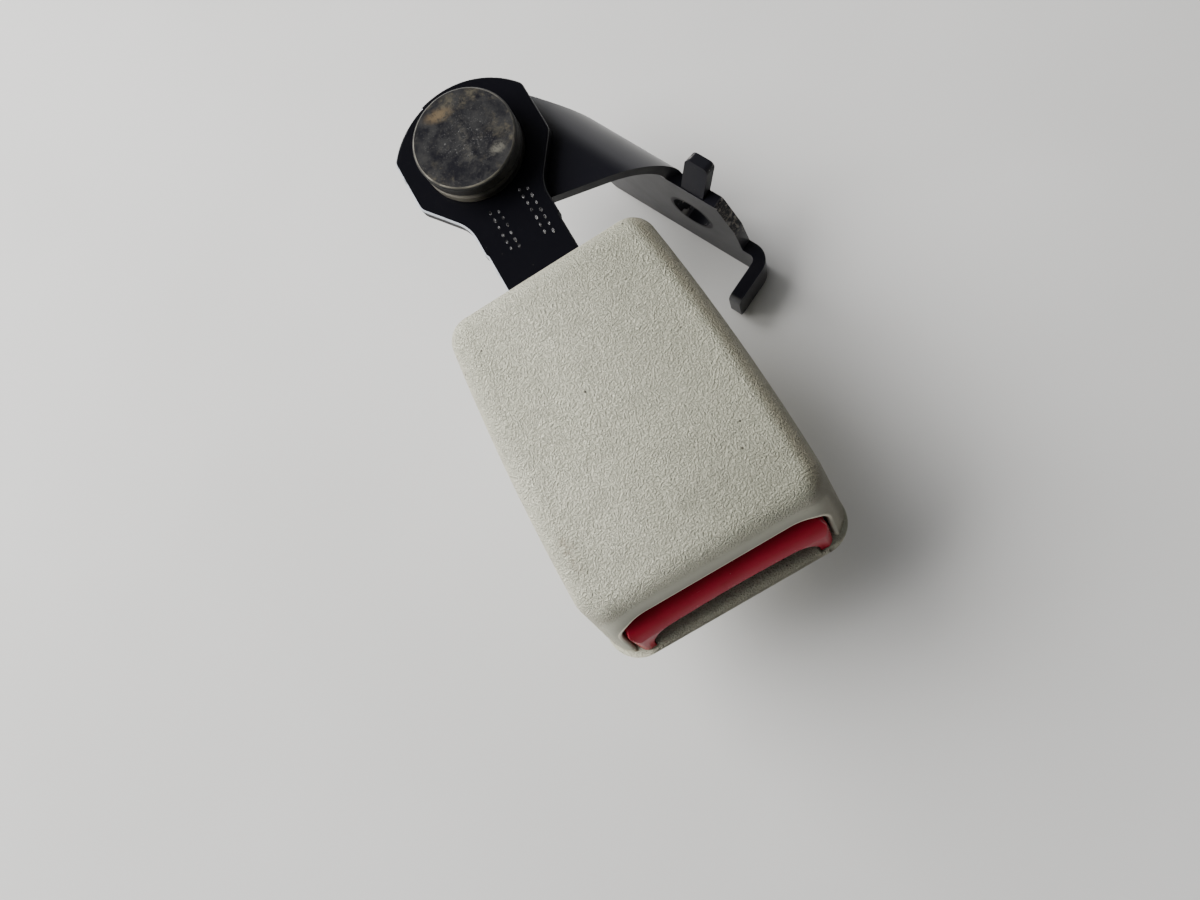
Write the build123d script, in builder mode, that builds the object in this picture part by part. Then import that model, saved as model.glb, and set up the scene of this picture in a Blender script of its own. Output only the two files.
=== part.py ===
"""Seat belt buckle on a riveted steel stalk, with its bent anchor bracket.

Millimetres. The origin is the middle of the tongue slot's mouth, in the tongue's mid-plane.
+Y runs along the buckle from the mouth to the stalk, +Z out of the button's side, +X to the right
when the button faces the reader. The bracket is drawn in its own axes at the stalk's pivot:
u runs along its bend, v runs out through its flange.
"""

import os
from math import atan2, cos, pi, radians, sin, tan

from build123d import *

# ---------------------------------------------------------------- driving dimensions

# tongue and its path
tongue_width = 32.0
tongue_thick = 3.0
tongue_play = 0.4              # free height above and below the tongue
tongue_side_play = 0.7         # free width at each side of the tongue

# covers
cover_rear = 78.5              # mouth to the covers' rear face
cover_room = 2.6               # free room at each side, between the button's rails and the cover
cover_bow = 0.1                # narrower half way along than at the mouth
cover_taper = 3.4              # narrower at the rear than at the mouth
cover_top = 17.5
parting_z = -4.0
cover_bottom = -7.5
wall = 2.0
draft = 2.5                    # degrees, sides of the upper cover
mouth_lean = 22.0              # degrees from vertical, slanted face round the button
mouth_low_y = 1.4              # where that face meets the parting plane
front_corner_r = 7.0
rear_corner_r = 5.5
top_edge_r = 5.0
bottom_edge_r = 2.2
lip_front = 0.0
lip_height = 1.2               # of the lip above the parting plane
lip_depth = 4.6
lip_rail = 0.75                # depth of the lip in front of the button's ends
lip_end = 2.7                  # from the lip's end to the opening's side
lip_side_gap = 0.4             # between the lip and the button's ends
part_gap = 0.15                # between pieces of one body that lie face to face
run_gap = 0.35                 # between pieces of different bodies

# opening and button
opening_top = 10.4
opening_corner_r = 7.5
rim_r = 0.6                    # rounding of the opening's rim
button_play = 0.6
button_travel = 6.0
button_wall = 1.8
button_hollow_r = 400.0        # radius of the hollowed front, seen from above
button_front_y = 3.5           # its lower front edge, at the middle
button_face_lean = 16.0        # degrees from vertical
button_roll_r = 13.0           # of the front's roll, seen from the side
button_depth = 12.0
button_end_r = 2.2             # rounding of its front corners
button_slot_room = 2.7         # between those ends and the tongue's slot
button_skirt = 3.4             # width of the two ends that reach down beside the slot
button_skirt_depth = 5.0       # how far back those ends reach
button_skirt_r = 5.0           # inner rounding above the tongue's corners
rail_gap = 0.5                 # between a rail and the frame's wall
rail_thick = 3.5
rail_low = 3.4
rail_high = 10.6
rail_end = 40.0
rail_front = 14.0

# tongue guide
guide_cheek = 2.8
guide_cheek_gap = 0.5          # behind the pressed button's ends

# inside the covers
rib = 1.2
boss_gap = 2.5                 # between a boss and the frame's tail
boss_rear = 9.5                # from the covers' rear face to the bosses
boss_r = 3.0
boss_split_z = 4.0
cover_pin_r = 1.5
pin_gap = 0.02                 # radial gap of pins that stay put
cover_pin_grip = 9.0           # length of each pin in each cover
rim_height = 3.0               # of the lower cover's inner rim above the parting plane
rim_front = 11.0
frame_rib_count = 4
frame_rib_step = 12.0

# steel frame
sheet = 2.3
sheet_bend_r = 1.2             # inner radius of the channel's bends
frame_front = 8.3
frame_wall_front = 20.0
frame_wall_rear = 60.0
frame_rear = 69.5
frame_tail_margin = 3.0        # frame's tail beyond the strap, each side
frame_wall_top = 12.2
ear_y = 57.0
ear_reach = 0.3                # ears beyond the rails
frame_corner_r = 5.0

# latch, its pin and the lock bar
pin_y = 52.0
pin_z = 6.0
pin_r = 2.0
pin_recess = 0.2               # of the pin's ends in the frame's walls
fit_gap = 0.05                 # radial gap of every running fit
latch_side_gap = 3.7           # between the latch and the frame's walls
latch_plate = 2.0
latch_low = 2.2
latch_eye_r = 3.6
latch_front = 26.5
tooth_long = 2.6
tooth_half = 7.0
tooth_low = -1.0
land_rear = 33.3
land_long = 4.2
land_rise = 1.2                # of the land above the latch's plate
lug = 5.2                      # width of each latch lug
bar_y = 33.0
bar_r = 2.0
bar_overhang = 2.6             # of the bar beyond the frame's walls
bar_gap = 0.3                  # between the bar and the land it locks

# ejector
ejector_half = 7.0
ejector_front = 31.0
ejector_long = 10.0
ejector_travel = 12.0
keel_half = 2.6
keel_inset = 2.0
slide_gap = 0.2

# springs
button_spring_r = 1.7
button_spring_wire = 0.7
button_spring_turns = 5.5
ejector_spring_r = 1.5
ejector_spring_wire = 0.5
ejector_spring_turns = 6.5
latch_spring_r = 3.0
latch_spring_wire = 0.8
latch_spring_turns = 3.242
latch_spring_half = 5.0
latch_spring_start = 30.9      # degrees round the pin, where its rear leg leaves the coil
latch_spring_front_leg = 8.6
latch_spring_rear_leg = 10.5

# stalk
strap_thick = 3.0
strap_half = 9.0
strap_top = 6.0
strap_step = 0.35              # shear step at each side of the strap
strap_step_y = 23.0            # from the pivot
strap_front = 61.2
joggle_start = 69.8
joggle_end = 76.3
reach = 113.0                  # mouth to the stalk's pivot
head_half = 16.8
head_crown = 17.3
head_flat_rear = 8.1
head_flat_front = 4.8
head_neck = 14.9
head_corner_r = 3.5
head_neck_r = 9.0
head_notch_x = 5.5             # shear step in the crown
head_notch = 0.35
rivet_y = 65.0
rivet_x = 4.8
rivet_r = 2.5
rivet_head_r = 3.7
rivet_head_thick = 1.8
rivet_head_taper = 25.0        # degrees
blank_edge_r = 0.5             # rolled edges of the stalk's upper face

# pivot joint
shoulder_r = 8.0
bush_wall = 1.2
ring_r = 11.7
ring_thick = 3.0
groove_r = 10.8
groove_thick = 0.5
rivet_disc_r = 11.7
rivet_disc_thick = 3.8
disc_chamfer = 0.5
washer_r = 13.0
washer_thick = 0.8
face_gap = 0.1                 # between faces that turn on each other
shank_r = 6.0
tail_r = 8.5
tail_thick = 3.0
tail_washer_r = 10.5
tail_washer_thick = 1.5

# anchor bracket, u along the bend and v out through the flange
bracket_turn = 25.0            # degrees from the stalk's line
bracket_thick = 3.0
bend_r = 12.0                  # outer radius
flange_v = 23.75               # pivot to the flange's outer face
flange_drop = 45.0             # stalk's top face to the flange's lower edge
plate_r = 14.4
plate_near_u = 37.1            # where the plate's near edge reaches the flange
plate_far_u = -3.0             # corner of the plate's far edge
plate_far_v = 17.9
flange_rear_u = 12.5
shoulder_u = 48.3
arm_drop = 15.2                # stalk's top face to the arm's upper edge
hook_drop = 34.2               # stalk's top face to the hook's upper edge
shear_u = 52.7                 # where the flange's slanting front edge turns down
shear_drop = 25.0
hook_root_u = 54.3
hook_u = 61.0                  # pivot to the hook's outer face
hook_bend_r = 4.6
hook_tip_v = 9.3
tab_u = 41.8
tab_wide = 6.0
tab_long = 8.6
tab_corner_r = 1.4
hook_corner_r = 1.6
flange_corner_r = 2.5
shoulder_r_u = 1.2             # rounding of the flange's front shoulder
tab_lean = 23.0                # degrees out from the flange
bolt_hole_r = 5.25
bolt_hole_u = 40.2
bolt_hole_drop = 28.7

# ---------------------------------------------------------------- worked-out places

slot_low = -tongue_thick / 2 - tongue_play
slot_high = tongue_thick / 2 + 2 * tongue_play
slot_half = tongue_width / 2 + tongue_side_play
frame_half = slot_half + sheet
rail_inner = frame_half + rail_gap
rail_outer = rail_inner + rail_thick
button_half = slot_half + button_slot_room + button_skirt
opening_half = button_half + button_play
cover_half = rail_outer + cover_room + wall
cover_half_mid = cover_half - cover_bow
cover_half_rear = cover_half - cover_taper
frame_tail_half = strap_half + frame_tail_margin
boss_x = frame_tail_half + boss_gap + boss_r
boss_y = cover_rear - boss_rear
pin_half = frame_half - pin_recess
latch_half = frame_half - latch_side_gap - sheet
bar_half = frame_half + bar_overhang
guide_front = lip_front + lip_depth + part_gap
guide_cheek_front = button_skirt_depth + button_travel + guide_cheek_gap
mouth_slope = tan(radians(mouth_lean))
base_low = slot_low - sheet
inner_top = cover_top - wall
inner_floor = cover_bottom + wall
draft_shift = tan(radians(draft)) * (rim_height + wall)
guide_low = inner_floor + part_gap
latch_high = latch_low + latch_plate
land_high = latch_high + land_rise
bar_z = land_high + bar_gap + bar_r
spring_z = (slot_low + latch_low) / 2 - 0.05
button_low = slot_high + 0.3
button_high = opening_top - button_play
strap_low = strap_top - strap_thick
bracket_top = strap_low - washer_thick - 2 * face_gap
bracket_low = bracket_top - bracket_thick
ring_low = strap_top + face_gap
ring_high = ring_low + ring_thick
disc_low = ring_high + groove_thick
disc_high = disc_low + rivet_disc_thick
flange_low = strap_top - flange_drop
arm_top = strap_top - arm_drop
hook_top = strap_top - hook_drop
flange_inner_v = flange_v - bracket_thick
wide = 200.0                   # cutting size, larger than the whole part

bend_dir = Vector(sin(radians(bracket_turn)), -cos(radians(bracket_turn)), 0)
out_dir = Vector(cos(radians(bracket_turn)), sin(radians(bracket_turn)), 0)
pivot = Vector(0, reach, 0)

os.makedirs("parts", exist_ok=True)


def save(block, name):
    """Labels a finished piece and writes its STEP file."""
    block.part.label = name
    export_step(block.part, f"parts/{name}.step")


def side_plane(x=0.0):
    """An upright plane along the buckle: its x is the row's Y, its y the row's Z."""
    return Plane(origin=(x, 0, 0), x_dir=(0, 1, 0), z_dir=(1, 0, 0))



def end_plane(y):
    """An upright plane across the buckle: its x is the row's X, its y the row's Z."""
    return Plane(origin=(0, y, 0), x_dir=(1, 0, 0), z_dir=(0, -1, 0))


def both_sides(x, y):
    """Places at x and at its mirror image."""
    return Locations((x, y), (-x, y))


# ---------------------------------------------------------------- covers


def cover_plan(inset, front_y, corners=0.0):
    """The covers' plan outline with arched sides, inset evenly, its corners rounded."""
    rear_y = cover_rear - inset
    mid_y = (front_y + rear_y) / 2
    with BuildSketch() as plan:
        with BuildLine():
            right = ThreePointArc(
                (cover_half - inset, front_y),
                (cover_half_mid - inset, mid_y),
                (cover_half_rear - inset, rear_y),
            )
            left = ThreePointArc(
                (inset - cover_half, front_y),
                (inset - cover_half_mid, mid_y),
                (inset - cover_half_rear, rear_y),
            )
            Line(right @ 0, left @ 0)
            Line(right @ 1, left @ 1)
        make_face()
        if corners:
            fillet(plan.vertices(), corners)
    return plan.sketch


def upper_form(inset):
    """The upper cover's outer form, or its cavity when inset by the wall."""
    top = cover_top - inset
    foot = mouth_low_y + inset
    over = top + top_edge_r
    with BuildPart() as form:
        with BuildSketch(Plane.XY.offset(parting_z)):
            add(cover_plan(inset, 0))
        extrude(amount=top - parting_z, taper=draft)
        with BuildSketch(side_plane()):
            with BuildLine():
                Polyline(
                    (foot, parting_z),
                    (foot + mouth_slope * (over - parting_z), over),
                    (-wide, over),
                    (-wide, parting_z),
                    close=True,
                )
            make_face()
        extrude(amount=wide, both=True, mode=Mode.SUBTRACT)
        # the cavity has plain bevels where the outside is rounded
        ease, share = (chamfer, 0.6) if inset else (fillet, 1)
        corners = form.edges().filter_by(lambda e: abs((e % 0.5).Z) > 0.7)
        ease(corners.group_by(Axis.Y)[0], share * (front_corner_r - inset))
        corners = form.edges().filter_by(lambda e: abs((e % 0.5).Z) > 0.9)
        ease(corners.group_by(Axis.Y)[-1], share * (rear_corner_r - inset))
        ease(form.faces().sort_by(Axis.Z)[-1].edges(), share * (top_edge_r - inset / 2))
    return form.part


def mouth_outline(inset):
    """The opening in the slanted face, seen along Y, with its two upper corners rounded."""
    low = parting_z - wall
    high = opening_top - inset
    with BuildSketch() as outline:
        with Locations((0, (high + low) / 2)):
            Rectangle(2 * (opening_half - inset), high - low)
        fillet(outline.vertices().group_by(Axis.Y)[-1], opening_corner_r - inset)
    return outline.sketch


outer_form = upper_form(0)
inner_form = upper_form(wall)

with BuildPart() as upper_cover:
    add(outer_form)
    add(inner_form, mode=Mode.SUBTRACT)
    # opening for the button and the tongue
    with BuildSketch(end_plane(-wall)):
        add(mouth_outline(0))
    extrude(amount=-(rim_front + wall), mode=Mode.SUBTRACT)
    rim = upper_cover.edges().filter_by(
        lambda e: abs((e @ 0.5).Y - mouth_low_y - mouth_slope * ((e @ 0.5).Z - parting_z)) < fit_gap
        and abs((e @ 0.5).X) < opening_half + fit_gap
        and parting_z + fit_gap < (e @ 0.5).Z < opening_top + fit_gap
    )
    fillet(rim, rim_r)
    # window for the stalk
    with BuildSketch(end_plane(cover_rear + wall)):
        with Locations((0, strap_low + strap_thick / 2)):
            RectangleRounded(2 * (strap_half + run_gap), strap_thick + 2 * run_gap, strap_thick / 4)
    extrude(amount=3 * wall, mode=Mode.SUBTRACT)
    # ribs that hold the frame down
    rib_root = inner_top + wall / 4
    with BuildSketch(Plane.XY.offset(rib_root)):
        with both_sides(frame_half - sheet / 2, (frame_wall_front + frame_wall_rear) / 2):
            Rectangle(rib, frame_wall_rear - frame_wall_front - 4 * frame_corner_r / 2)
    extrude(amount=frame_wall_top + part_gap - rib_root)
    # bosses of the cover pins
    with BuildSketch(Plane.XY.offset(rib_root)):
        with both_sides(boss_x, boss_y):
            Circle(boss_r)
    extrude(amount=boss_split_z + part_gap - rib_root)
    with BuildSketch(Plane.XY.offset(boss_split_z)):
        with both_sides(boss_x, boss_y):
            Circle(cover_pin_r + pin_gap)
    extrude(amount=cover_pin_grip + part_gap, mode=Mode.SUBTRACT)
save(upper_cover, "upper_cover")

with BuildPart() as lower_cover:
    with BuildSketch(Plane.XY.offset(parting_z - part_gap)):
        add(cover_plan(0, lip_front, front_corner_r))
    extrude(amount=cover_bottom - parting_z + part_gap, taper=draft)
    fillet(lower_cover.faces().sort_by(Axis.Z)[0].edges(), bottom_edge_r)
    # shallow pan
    with BuildSketch(Plane.XY.offset(parting_z)):
        add(cover_plan(wall, lip_front + lip_depth, rear_corner_r))
    extrude(amount=inner_floor - parting_z, mode=Mode.SUBTRACT)
    # inner rim, inside the upper cover's wall and open at the mouth
    with BuildSketch(Plane.XY.offset(inner_floor - wall / 4)):
        add(cover_plan(wall + part_gap + draft_shift, 0, rear_corner_r))
        add(cover_plan(wall + part_gap + draft_shift + rib, 0, rear_corner_r), mode=Mode.SUBTRACT)
        Rectangle(wide, 2 * rim_front, mode=Mode.SUBTRACT)
    extrude(amount=parting_z + rim_height - inner_floor + wall / 4)
    # lip under the tongue's way in
    with BuildSketch(Plane.XY.offset(parting_z - part_gap)):
        with Locations((0, lip_front + lip_rail / 2)):
            Rectangle(2 * (opening_half - lip_end), lip_rail)
        with Locations((0, lip_front + lip_depth / 2)):
            Rectangle(2 * (slot_half + button_slot_room - lip_side_gap), lip_depth)
    extrude(amount=lip_height + part_gap)
    lip_top = parting_z + lip_height - 0.1
    lip_edges = lower_cover.edges().filter_by(Axis.X).filter_by_position(Axis.Z, lip_top, wide)
    fillet(lip_edges.sort_by(Axis.Y)[0], lip_height / 2)
    # ribs under the frame, clear of the ejector's keel
    with BuildSketch(Plane.XY.offset(inner_floor - wall / 4)):
        for row in range(frame_rib_count):
            rib_y = frame_wall_front + 2 * rib + row * frame_rib_step
            with both_sides((frame_half + keel_half) / 2 + 1, rib_y):
                Rectangle(frame_half - keel_half - 2, rib)
    extrude(amount=base_low - part_gap - inner_floor + wall / 4)
    # side cheeks that locate the frame
    with BuildSketch(Plane.XY.offset(inner_floor - wall / 4)):
        with both_sides(frame_half + part_gap + rib / 2, (frame_wall_front + frame_wall_rear) / 2):
            Rectangle(rib, frame_wall_rear - frame_wall_front)
    extrude(amount=parting_z + rim_height - inner_floor + wall / 4)
    # bosses of the cover pins
    with BuildSketch(Plane.XY.offset(inner_floor - wall / 4)):
        with both_sides(boss_x, boss_y):
            Circle(boss_r)
    extrude(amount=boss_split_z - inner_floor + wall / 4)
    with BuildSketch(Plane.XY.offset(boss_split_z)):
        with both_sides(boss_x, boss_y):
            Circle(cover_pin_r + pin_gap)
    extrude(amount=-(cover_pin_grip + part_gap), mode=Mode.SUBTRACT)
save(lower_cover, "lower_cover")

with BuildPart() as cover_pins:
    with BuildSketch(Plane.XY.offset(boss_split_z - cover_pin_grip)):
        with both_sides(boss_x, boss_y):
            Circle(cover_pin_r)
    extrude(amount=2 * cover_pin_grip)
    ends = cover_pins.edges().filter_by(GeomType.CIRCLE)
    chamfer(ends, cover_pin_r / 4)
save(cover_pins, "cover_pins")

# ---------------------------------------------------------------- release button

with BuildPart() as release_button:
    # face block, seen along Y, reaching down beside the slot at both ends
    low = parting_z - 2 * wall
    with BuildSketch(end_plane(-wall)):
        add(mouth_outline(button_play))
        with Locations((0, (low + parting_z + run_gap) / 2)):
            Rectangle(wide, parting_z + run_gap - low, mode=Mode.SUBTRACT)
        with BuildSketch(mode=Mode.PRIVATE) as slot_way:
            with Locations((0, (low + button_low) / 2)):
                Rectangle(2 * (slot_half + button_slot_room), button_low - low)
            fillet(slot_way.vertices().group_by(Axis.Y)[-1], button_skirt_r)
        add(slot_way.sketch, mode=Mode.SUBTRACT)
    extrude(amount=-wall - button_depth)
    # front rolled over in one curve above a crease, slightly hollowed for the thumb
    slope = tan(radians(button_face_lean))
    front = button_front_y - slope * (button_low - low)
    roll_low = button_low - button_high + button_roll_r
    roll_y = button_front_y + (button_roll_r**2 - roll_low**2) ** 0.5
    half_turn = (atan2(roll_low, button_front_y - roll_y) + pi / 2) / 2
    with BuildSketch(side_plane()):
        with BuildLine():
            ThreePointArc(
                (button_front_y, button_low),
                (
                    roll_y + button_roll_r * cos(half_turn),
                    button_high - button_roll_r + button_roll_r * sin(half_turn),
                ),
                (roll_y, button_high),
            )
            Polyline(
                (roll_y, button_high), (wide, button_high), (wide, low), (front, low),
                (button_front_y, button_low),
            )
        make_face()
    revolve(axis=Axis((0, button_front_y - button_hollow_r, 0), (0, 0, 1)), mode=Mode.INTERSECT)
    # rounded ends
    with BuildSketch(Plane.XY.offset(low)) as plan:
        with Locations((0, front - button_half**2 / (2 * button_hollow_r) + wide / 2)):
            Rectangle(2 * button_half, wide)
        fillet(plan.vertices().group_by(Axis.Y)[0], button_end_r)
    extrude(amount=button_high - low + wall, dir=(0, slope, 1), mode=Mode.INTERSECT)
    # the ends that reach down stop short of the tongue guide
    with BuildSketch(Plane.XY.offset(low)):
        with Locations((0, button_skirt_depth + wide / 2)):
            Rectangle(wide, wide)
    extrude(amount=button_low - low, mode=Mode.SUBTRACT)
    # hollow back
    with BuildSketch(end_plane(button_depth)):
        hollow_low, hollow_high = button_low + button_wall, (button_low + button_high) / 2
        with Locations((0, (hollow_low + hollow_high) / 2)):
            RectangleRounded(2 * (button_half - 3 * button_wall), hollow_high - hollow_low, button_wall / 3)
    extrude(amount=button_depth - button_front_y - 3 * button_wall, mode=Mode.SUBTRACT)
    # two rails with notches that carry the lock bar
    with BuildSketch(side_plane(rail_inner)):
        with BuildLine():
            Polyline(
                (button_depth - button_wall, rail_low),
                (rail_end, rail_low),
                (rail_end, rail_high),
                (rail_front, rail_high),
                (rail_front, button_high - 2 * button_wall),
                (button_depth - button_wall, button_high - 2 * button_wall),
                close=True,
            )
        make_face()
        notch_half = bar_r + run_gap
        with Locations((bar_y, (bar_z - notch_half + rail_high) / 2)):
            Rectangle(2 * notch_half, rail_high - bar_z + notch_half, mode=Mode.SUBTRACT)
    extrude(amount=rail_outer - rail_inner)
    mirror(about=Plane.YZ)
save(release_button, "release_button")


def coil(radius, wire, turns, start, length, axis):
    """A closed wire coil from a start point along an axis."""
    pitch = length / turns
    with BuildPart() as spring:
        with BuildLine() as path:
            Helix(pitch, length, radius, center=start, direction=axis)
        with BuildSketch(Plane(origin=path.line @ 0, z_dir=path.line % 0)):
            RegularPolygon(wire / 2, 6)
        sweep()
    return spring


spring_front = rail_end + part_gap + button_spring_wire / 2
spring_rear = ear_y - part_gap - button_spring_wire / 2
for side, name in ((-1, "left"), (1, "right")):
    start = (side * (rail_inner + rail_outer) / 2, spring_front, (rail_low + rail_high) / 2)
    spring = coil(
        button_spring_r, button_spring_wire, button_spring_turns, start, spring_rear - spring_front, (0, 1, 0)
    )
    save(spring, f"button_spring_{name}")

# ---------------------------------------------------------------- tongue guide and frame

with BuildPart() as tongue_guide:
    guide_rear = frame_wall_front - part_gap
    with BuildSketch(Plane.XY.offset(guide_low)):
        with Locations((0, (guide_front + guide_rear) / 2)):
            Rectangle(2 * (slot_half + guide_cheek), guide_rear - guide_front)
    extrude(amount=base_low - part_gap - guide_low)
    with BuildSketch(Plane.XY.offset(guide_low)):
        with Locations((0, (guide_front + frame_front - part_gap) / 2)):
            Rectangle(2 * slot_half, frame_front - guide_front - part_gap)
    extrude(amount=slot_low - part_gap - guide_low)
    with BuildSketch(Plane.XY.offset(guide_low)):
        with both_sides(slot_half + guide_cheek / 2, (guide_cheek_front + guide_rear) / 2):
            Rectangle(guide_cheek, guide_rear - guide_cheek_front)
    extrude(amount=slot_high - guide_low)
    leads = tongue_guide.edges().filter_by(Axis.Z)
    leads = leads.filter_by_position(Axis.Y, guide_cheek_front - fit_gap, guide_cheek_front + fit_gap)
    chamfer(leads, guide_cheek / 4)
save(tongue_guide, "tongue_guide")

with BuildPart() as buckle_frame:
    # channel
    with BuildSketch(end_plane(frame_wall_rear)):
        outer_r = sheet_bend_r + sheet
        with BuildLine():
            FilletPolyline(
                (-frame_half, frame_wall_top),
                (-frame_half, base_low),
                (frame_half, base_low),
                (frame_half, frame_wall_top),
                radius=outer_r,
            )
            FilletPolyline(
                (-frame_half + sheet, frame_wall_top),
                (-frame_half + sheet, slot_low),
                (frame_half - sheet, slot_low),
                (frame_half - sheet, frame_wall_top),
                radius=sheet_bend_r,
            )
            Line((-frame_half, frame_wall_top), (-frame_half + sheet, frame_wall_top))
            Line((frame_half, frame_wall_top), (frame_half - sheet, frame_wall_top))
        make_face()
    extrude(amount=frame_wall_rear - frame_wall_front)
    wall_ends = buckle_frame.edges().filter_by(Axis.X).group_by(Axis.Z)[-1]
    fillet(wall_ends, frame_corner_r)
    # base plate, ahead of and behind the walls
    with BuildSketch(Plane.XY.offset(base_low)):
        with Locations((0, (frame_front + frame_wall_front + sheet) / 2)):
            Rectangle(2 * (slot_half - part_gap), frame_wall_front - frame_front + sheet)
        with Locations((0, (frame_wall_rear - sheet + frame_rear) / 2)):
            Rectangle(2 * frame_tail_half, frame_rear - frame_wall_rear + sheet)
    extrude(amount=sheet)
    # ears behind the button springs
    with BuildSketch(end_plane(ear_y)):
        ear_inner, ear_outer = frame_half - sheet, rail_outer + ear_reach
        with both_sides((ear_inner + ear_outer) / 2, (rail_low + rail_high) / 2):
            Rectangle(ear_outer - ear_inner, rail_high - rail_low)
    extrude(amount=-sheet)
    # holes: lock bar, latch pin, ejector keel, stalk rivets
    with BuildSketch(side_plane()):
        with Locations((bar_y + button_travel / 2, bar_z)):
            SlotCenterToCenter(button_travel, 2 * (bar_r + fit_gap))
        with Locations((pin_y, pin_z)):
            Circle(pin_r + pin_gap)
    extrude(amount=wide, both=True, mode=Mode.SUBTRACT)
    with BuildSketch(Plane.XY.offset(base_low)):
        keel_front, keel_rear = ejector_front + keel_inset, ejector_front + ejector_long - keel_inset
        with Locations((0, (keel_front + keel_rear + ejector_travel) / 2)):
            Rectangle(2 * (keel_half + run_gap), keel_rear - keel_front + ejector_travel + 2 * run_gap)
        with both_sides(rivet_x, rivet_y):
            Circle(rivet_r + pin_gap)
    extrude(amount=sheet, mode=Mode.SUBTRACT)
save(buckle_frame, "buckle_frame")

# ---------------------------------------------------------------- latch, lock bar, ejector

with BuildPart() as latch:
    with BuildSketch(side_plane()):
        with BuildLine():
            Polyline(
                (latch_front, latch_low),
                (latch_front, latch_high),
                (land_rear - land_long, latch_high),
                (land_rear - land_long, land_high),
                (land_rear, land_high),
                (land_rear, latch_high),
                (pin_y - latch_eye_r, latch_high),
                (pin_y, pin_z + latch_eye_r),
                (pin_y, pin_z - latch_eye_r),
                (pin_y - latch_eye_r, latch_low),
                close=True,
            )
        make_face()
        with Locations((pin_y, pin_z)):
            Circle(latch_eye_r)
    extrude(amount=latch_half, both=True)
    with BuildSketch(side_plane()):
        with BuildLine():
            Polyline(
                (latch_front, latch_low),
                (latch_front + tooth_long / 2, tooth_low),
                (latch_front + tooth_long, tooth_low),
                (latch_front + tooth_long, latch_low),
                close=True,
            )
        make_face()
    extrude(amount=tooth_half, both=True)
    # room for the springs between the two lugs
    with BuildSketch(Plane.XY.offset(tooth_low)):
        with Locations((0, pin_y)):
            Rectangle(2 * (latch_half - lug), 4 * latch_eye_r)
    extrude(amount=wide, mode=Mode.SUBTRACT)
    with BuildSketch(side_plane()):
        with Locations((pin_y, pin_z)):
            Circle(pin_r + fit_gap)
    extrude(amount=wide, both=True, mode=Mode.SUBTRACT)
save(latch, "latch")

with BuildPart() as latch_pin:
    with BuildSketch(side_plane(-pin_half)):
        with Locations((pin_y, pin_z)):
            Circle(pin_r)
    extrude(amount=2 * pin_half)
    chamfer(latch_pin.edges().filter_by(GeomType.CIRCLE), pin_r / 5)
save(latch_pin, "latch_pin")

with BuildPart() as latch_spring:
    with BuildLine() as wire:
        turns = Helix(
            2 * latch_spring_half / latch_spring_turns,
            2 * latch_spring_half,
            latch_spring_r,
            center=(-latch_spring_half, pin_y, pin_z),
            direction=(1, 0, 0),
            mode=Mode.PRIVATE,
        )
        add(turns.rotate(Axis((0, pin_y, pin_z), (1, 0, 0)), latch_spring_start - 90))
    with BuildSketch(Plane(origin=wire.line @ 0, z_dir=wire.line % 0)):
        RegularPolygon(latch_spring_wire / 2, 6)
    sweep(is_frenet=True)
    with BuildSketch(Plane(origin=wire.line @ 0, z_dir=-(wire.line % 0))):
        RegularPolygon(latch_spring_wire / 2, 6)
    extrude(amount=latch_spring_rear_leg)
    with BuildSketch(Plane(origin=wire.line @ 1, z_dir=wire.line % 1)):
        RegularPolygon(latch_spring_wire / 2, 6)
    extrude(amount=latch_spring_front_leg)
save(latch_spring, "latch_spring")

with BuildPart() as lock_bar:
    with BuildSketch(side_plane(-bar_half)):
        with Locations((bar_y, bar_z)):
            Circle(bar_r)
    extrude(amount=2 * bar_half)
    chamfer(lock_bar.edges().filter_by(GeomType.CIRCLE), bar_r / 5)
save(lock_bar, "lock_bar")

with BuildPart() as ejector:
    with BuildSketch(Plane.XY.offset(slot_low + slide_gap)):
        with Locations((0, ejector_front + ejector_long / 2)):
            RectangleRounded(2 * ejector_half, ejector_long, 1)
    extrude(amount=latch_low - slide_gap - run_gap - slot_low)
    with BuildSketch(Plane.XY.offset(base_low - slide_gap)):
        with Locations((0, ejector_front + ejector_long / 2)):
            Rectangle(2 * keel_half, ejector_long - 2 * keel_inset)
    extrude(amount=slot_low + 2 * slide_gap - base_low)
save(ejector, "ejector")

ejector_spring = coil(
    ejector_spring_r,
    ejector_spring_wire,
    ejector_spring_turns,
    (0, ejector_front + ejector_long + part_gap + ejector_spring_wire / 2, spring_z),
    strap_front - ejector_front - ejector_long - 2 * part_gap - ejector_spring_wire,
    (0, 1, 0),
)
save(ejector_spring, "ejector_spring")

# ---------------------------------------------------------------- stalk

def crown_y(x):
    """Height of the head's crown arc at a distance from its middle line."""
    rise = head_crown - head_flat_rear
    crown_r = (head_half**2 + rise**2) / (2 * rise)
    return reach + head_crown - crown_r + (crown_r**2 - x**2) ** 0.5


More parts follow.
